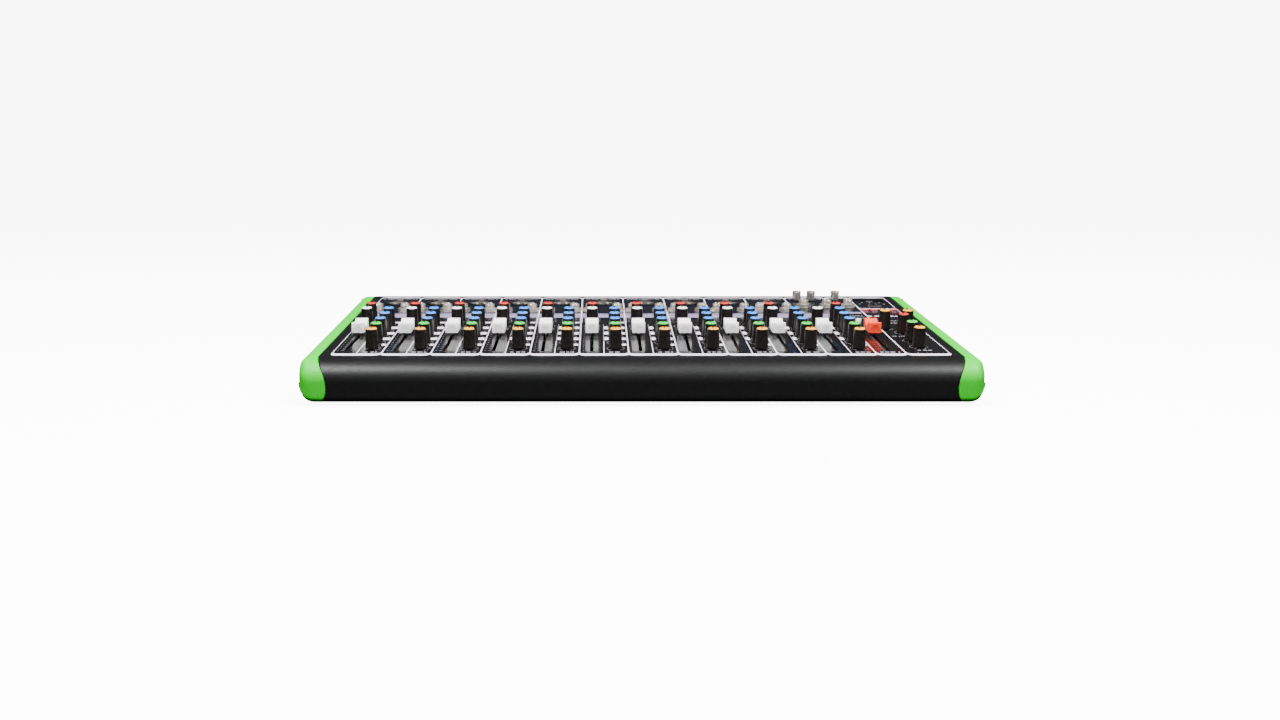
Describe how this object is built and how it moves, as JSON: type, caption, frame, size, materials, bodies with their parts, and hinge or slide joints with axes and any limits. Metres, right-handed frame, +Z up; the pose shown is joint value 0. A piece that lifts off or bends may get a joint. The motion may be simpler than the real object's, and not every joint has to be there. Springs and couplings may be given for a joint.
{
  "type": "mixing console",
  "caption": "Desktop audio mixing console with sliding channel faders, turning knobs, jack and microphone sockets, and moulded end cheeks.",
  "frame": {"origin": "middle of the footprint, on the plane under the feet", "axes": "+X to the operator's right along the console, +Y from the operator's side to the rear, +Z up"},
  "size_m": [0.543, 0.296, 0.0667],
  "materials": {
    "cover_paint": "satin black powder coat, glossy printed strips",
    "pan_paint": "matte black powder coat",
    "cheek_plastic": "glossy moulded plastic, bright leaf green",
    "circuit_board": "solder-masked laminate with sockets and controls",
    "window_plastic": "smoked gloss window",
    "zinc_steel": "zinc-plated screening can",
    "black_moulding": "matte black moulding",
    "foot_rubber": "matte rubber",
    "white_cap": "satin white moulding",
    "red_cap": "satin red moulding",
    "knob_plastic": "black fluted skirt with a coloured cap",
    "pink_key": "translucent pink keycap",
    "white_key": "white keycap"
  },
  "bodies": {
    "root": {"top_cover": "cover_paint", "base_pan": "pan_paint", "rear_panel": "cover_paint", "left_cheek": "cheek_plastic", "right_cheek": "cheek_plastic", "control_board": "circuit_board", "input_board": "circuit_board", "output_board": "circuit_board", "player_module": "window_plastic", "power_supply": "zinc_steel", "mains_inlet": "black_moulding", "foot_front_left": "foot_rubber", "foot_front_right": "foot_rubber", "foot_rear_left": "foot_rubber", "foot_rear_right": "foot_rubber"},
    "channel_fader_01": {"channel_fader_01": "white_cap"},
    "channel_fader_02": {"channel_fader_02": "white_cap"},
    "channel_fader_03": {"channel_fader_03": "white_cap"},
    "channel_fader_04": {"channel_fader_04": "white_cap"},
    "channel_fader_05": {"channel_fader_05": "white_cap"},
    "channel_fader_06": {"channel_fader_06": "white_cap"},
    "channel_fader_07": {"channel_fader_07": "white_cap"},
    "channel_fader_08": {"channel_fader_08": "white_cap"},
    "channel_fader_09": {"channel_fader_09": "white_cap"},
    "channel_fader_10": {"channel_fader_10": "white_cap"},
    "channel_fader_11": {"channel_fader_11": "white_cap"},
    "main_fader": {"main_fader": "red_cap"},
    "gain_knob_01": {"gain_knob_01": "knob_plastic"},
    "gain_knob_02": {"gain_knob_02": "knob_plastic"},
    "gain_knob_03": {"gain_knob_03": "knob_plastic"},
    "gain_knob_04": {"gain_knob_04": "knob_plastic"},
    "gain_knob_05": {"gain_knob_05": "knob_plastic"},
    "gain_knob_06": {"gain_knob_06": "knob_plastic"},
    "gain_knob_07": {"gain_knob_07": "knob_plastic"},
    "gain_knob_08": {"gain_knob_08": "knob_plastic"},
    "gain_knob_09": {"gain_knob_09": "knob_plastic"},
    "gain_knob_10": {"gain_knob_10": "knob_plastic"},
    "gain_knob_11": {"gain_knob_11": "knob_plastic"},
    "level_knob_01": {"level_knob_01": "knob_plastic"},
    "level_knob_02": {"level_knob_02": "knob_plastic"},
    "level_knob_03": {"level_knob_03": "knob_plastic"},
    "level_knob_04": {"level_knob_04": "knob_plastic"},
    "level_knob_05": {"level_knob_05": "knob_plastic"},
    "level_knob_06": {"level_knob_06": "knob_plastic"},
    "level_knob_07": {"level_knob_07": "knob_plastic"},
    "level_knob_08": {"level_knob_08": "knob_plastic"},
    "level_knob_09": {"level_knob_09": "knob_plastic"},
    "level_knob_10": {"level_knob_10": "knob_plastic"},
    "level_knob_11": {"level_knob_11": "knob_plastic"},
    "master_level_knob": {"master_level_knob": "knob_plastic"},
    "master_echo_knob": {"master_echo_knob": "knob_plastic"},
    "phones_level_knob": {"phones_level_knob": "knob_plastic"},
    "echo_time_knob": {"echo_time_knob": "knob_plastic"},
    "echo_repeat_knob": {"echo_repeat_knob": "knob_plastic"},
    "player_button_1": {"player_button_1": "pink_key"},
    "player_button_2": {"player_button_2": "pink_key"},
    "player_button_3": {"player_button_3": "pink_key"},
    "player_button_4": {"player_button_4": "pink_key"},
    "phantom_button": {"phantom_button": "white_key"},
    "power_rocker": {"power_rocker": "black_moulding"}
  },
  "joints": [
    {"name": "channel_fader_01_slide", "type": "slide", "parent": "root", "child": "channel_fader_01", "axis": [0, 0.9969, 0.0785], "range_m": [-0.063, 0.012]},
    {"name": "channel_fader_02_slide", "type": "slide", "parent": "root", "child": "channel_fader_02", "axis": [0, 0.9969, 0.0785], "range_m": [-0.063, 0.012]},
    {"name": "channel_fader_03_slide", "type": "slide", "parent": "root", "child": "channel_fader_03", "axis": [0, 0.9969, 0.0785], "range_m": [-0.063, 0.012]},
    {"name": "channel_fader_04_slide", "type": "slide", "parent": "root", "child": "channel_fader_04", "axis": [0, 0.9969, 0.0785], "range_m": [-0.063, 0.012]},
    {"name": "channel_fader_05_slide", "type": "slide", "parent": "root", "child": "channel_fader_05", "axis": [0, 0.9969, 0.0785], "range_m": [-0.063, 0.012]},
    {"name": "channel_fader_06_slide", "type": "slide", "parent": "root", "child": "channel_fader_06", "axis": [0, 0.9969, 0.0785], "range_m": [-0.063, 0.012]},
    {"name": "channel_fader_07_slide", "type": "slide", "parent": "root", "child": "channel_fader_07", "axis": [0, 0.9969, 0.0785], "range_m": [-0.063, 0.012]},
    {"name": "channel_fader_08_slide", "type": "slide", "parent": "root", "child": "channel_fader_08", "axis": [0, 0.9969, 0.0785], "range_m": [-0.063, 0.012]},
    {"name": "channel_fader_09_slide", "type": "slide", "parent": "root", "child": "channel_fader_09", "axis": [0, 0.9969, 0.0785], "range_m": [-0.063, 0.012]},
    {"name": "channel_fader_10_slide", "type": "slide", "parent": "root", "child": "channel_fader_10", "axis": [0, 0.9969, 0.0785], "range_m": [-0.063, 0.012]},
    {"name": "channel_fader_11_slide", "type": "slide", "parent": "root", "child": "channel_fader_11", "axis": [0, 0.9969, 0.0785], "range_m": [-0.063, 0.012]},
    {"name": "main_fader_slide", "type": "slide", "parent": "root", "child": "main_fader", "axis": [0, 0.9969, 0.0785], "range_m": [-0.063, 0.012]},
    {"name": "gain_knob_01_turn", "type": "hinge", "parent": "root", "child": "gain_knob_01", "pos_m": [-0.2398, 0.01757, 0.04868], "axis": [0, -0.0785, 0.9969], "range_deg": [-150, 150]},
    {"name": "gain_knob_02_turn", "type": "hinge", "parent": "root", "child": "gain_knob_02", "pos_m": [-0.1998, 0.01757, 0.04868], "axis": [0, -0.0785, 0.9969], "range_deg": [-150, 150]},
    {"name": "gain_knob_03_turn", "type": "hinge", "parent": "root", "child": "gain_knob_03", "pos_m": [-0.1598, 0.01757, 0.04868], "axis": [0, -0.0785, 0.9969], "range_deg": [-150, 150]},
    {"name": "gain_knob_04_turn", "type": "hinge", "parent": "root", "child": "gain_knob_04", "pos_m": [-0.1198, 0.01757, 0.04868], "axis": [0, -0.0785, 0.9969], "range_deg": [-150, 150]},
    {"name": "gain_knob_05_turn", "type": "hinge", "parent": "root", "child": "gain_knob_05", "pos_m": [-0.0798, 0.01757, 0.04868], "axis": [0, -0.0785, 0.9969], "range_deg": [-150, 150]},
    {"name": "gain_knob_06_turn", "type": "hinge", "parent": "root", "child": "gain_knob_06", "pos_m": [-0.0398, 0.01757, 0.04868], "axis": [0, -0.0785, 0.9969], "range_deg": [-150, 150]},
    {"name": "gain_knob_07_turn", "type": "hinge", "parent": "root", "child": "gain_knob_07", "pos_m": [0.0002, 0.01757, 0.04868], "axis": [0, -0.0785, 0.9969], "range_deg": [-150, 150]},
    {"name": "gain_knob_08_turn", "type": "hinge", "parent": "root", "child": "gain_knob_08", "pos_m": [0.0402, 0.01757, 0.04868], "axis": [0, -0.0785, 0.9969], "range_deg": [-150, 150]},
    {"name": "gain_knob_09_turn", "type": "hinge", "parent": "root", "child": "gain_knob_09", "pos_m": [0.0802, 0.01757, 0.04868], "axis": [0, -0.0785, 0.9969], "range_deg": [-150, 150]},
    {"name": "gain_knob_10_turn", "type": "hinge", "parent": "root", "child": "gain_knob_10", "pos_m": [0.1202, 0.01757, 0.04868], "axis": [0, -0.0785, 0.9969], "range_deg": [-150, 150]},
    {"name": "gain_knob_11_turn", "type": "hinge", "parent": "root", "child": "gain_knob_11", "pos_m": [0.1806, 0.01757, 0.04868], "axis": [0, -0.0785, 0.9969], "range_deg": [-150, 150]},
    {"name": "level_knob_01_turn", "type": "hinge", "parent": "root", "child": "level_knob_01", "pos_m": [-0.2202, -0.09847, 0.03955], "axis": [0, -0.0785, 0.9969], "range_deg": [-150, 150]},
    {"name": "level_knob_02_turn", "type": "hinge", "parent": "root", "child": "level_knob_02", "pos_m": [-0.1802, -0.09847, 0.03955], "axis": [0, -0.0785, 0.9969], "range_deg": [-150, 150]},
    {"name": "level_knob_03_turn", "type": "hinge", "parent": "root", "child": "level_knob_03", "pos_m": [-0.1402, -0.09847, 0.03955], "axis": [0, -0.0785, 0.9969], "range_deg": [-150, 150]},
    {"name": "level_knob_04_turn", "type": "hinge", "parent": "root", "child": "level_knob_04", "pos_m": [-0.1002, -0.09847, 0.03955], "axis": [0, -0.0785, 0.9969], "range_deg": [-150, 150]},
    {"name": "level_knob_05_turn", "type": "hinge", "parent": "root", "child": "level_knob_05", "pos_m": [-0.0602, -0.09847, 0.03955], "axis": [0, -0.0785, 0.9969], "range_deg": [-150, 150]},
    {"name": "level_knob_06_turn", "type": "hinge", "parent": "root", "child": "level_knob_06", "pos_m": [-0.0202, -0.09847, 0.03955], "axis": [0, -0.0785, 0.9969], "range_deg": [-150, 150]},
    {"name": "level_knob_07_turn", "type": "hinge", "parent": "root", "child": "level_knob_07", "pos_m": [0.0198, -0.09847, 0.03955], "axis": [0, -0.0785, 0.9969], "range_deg": [-150, 150]},
    {"name": "level_knob_08_turn", "type": "hinge", "parent": "root", "child": "level_knob_08", "pos_m": [0.0598, -0.09847, 0.03955], "axis": [0, -0.0785, 0.9969], "range_deg": [-150, 150]},
    {"name": "level_knob_09_turn", "type": "hinge", "parent": "root", "child": "level_knob_09", "pos_m": [0.0998, -0.09847, 0.03955], "axis": [0, -0.0785, 0.9969], "range_deg": [-150, 150]},
    {"name": "level_knob_10_turn", "type": "hinge", "parent": "root", "child": "level_knob_10", "pos_m": [0.1398, -0.09847, 0.03955], "axis": [0, -0.0785, 0.9969], "range_deg": [-150, 150]},
    {"name": "level_knob_11_turn", "type": "hinge", "parent": "root", "child": "level_knob_11", "pos_m": [0.1798, -0.09847, 0.03955], "axis": [0, -0.0785, 0.9969], "range_deg": [-150, 150]},
    {"name": "master_level_knob_turn", "type": "hinge", "parent": "root", "child": "master_level_knob", "pos_m": [0.2302, -0.09259, 0.04002], "axis": [0, -0.0785, 0.9969], "range_deg": [-150, 150]},
    {"name": "master_echo_knob_turn", "type": "hinge", "parent": "root", "child": "master_echo_knob", "pos_m": [0.2298, -0.06817, 0.04194], "axis": [0, -0.0785, 0.9969], "range_deg": [-150, 150]},
    {"name": "phones_level_knob_turn", "type": "hinge", "parent": "root", "child": "phones_level_knob", "pos_m": [0.2302, -0.03477, 0.04457], "axis": [0, -0.0785, 0.9969], "range_deg": [-150, 150]},
    {"name": "echo_time_knob_turn", "type": "hinge", "parent": "root", "child": "echo_time_knob", "pos_m": [0.2178, -0.01732, 0.04594], "axis": [0, -0.0785, 0.9969], "range_deg": [-150, 150]},
    {"name": "echo_repeat_knob_turn", "type": "hinge", "parent": "root", "child": "echo_repeat_knob", "pos_m": [0.2378, -0.01732, 0.04594], "axis": [0, -0.0785, 0.9969], "range_deg": [-150, 150]},
    {"name": "player_button_1_push", "type": "slide", "parent": "root", "child": "player_button_1", "axis": [0, 0.0785, -0.9969], "range_m": [0, 0.001], "stiffness_N_per_m": 150},
    {"name": "player_button_2_push", "type": "slide", "parent": "root", "child": "player_button_2", "axis": [0, 0.0785, -0.9969], "range_m": [0, 0.001], "stiffness_N_per_m": 150},
    {"name": "player_button_3_push", "type": "slide", "parent": "root", "child": "player_button_3", "axis": [0, 0.0785, -0.9969], "range_m": [0, 0.001], "stiffness_N_per_m": 150},
    {"name": "player_button_4_push", "type": "slide", "parent": "root", "child": "player_button_4", "axis": [0, 0.0785, -0.9969], "range_m": [0, 0.001], "stiffness_N_per_m": 150},
    {"name": "phantom_button_push", "type": "slide", "parent": "root", "child": "phantom_button", "axis": [0, 0.0785, -0.9969], "range_m": [0, 0.0015], "stiffness_N_per_m": 150},
    {"name": "power_rocker_tilt", "type": "hinge", "parent": "root", "child": "power_rocker", "pos_m": [0.2, 0.1405, 0.0215], "axis": [1, 0, 0], "range_deg": [0, 20]}
  ]
}
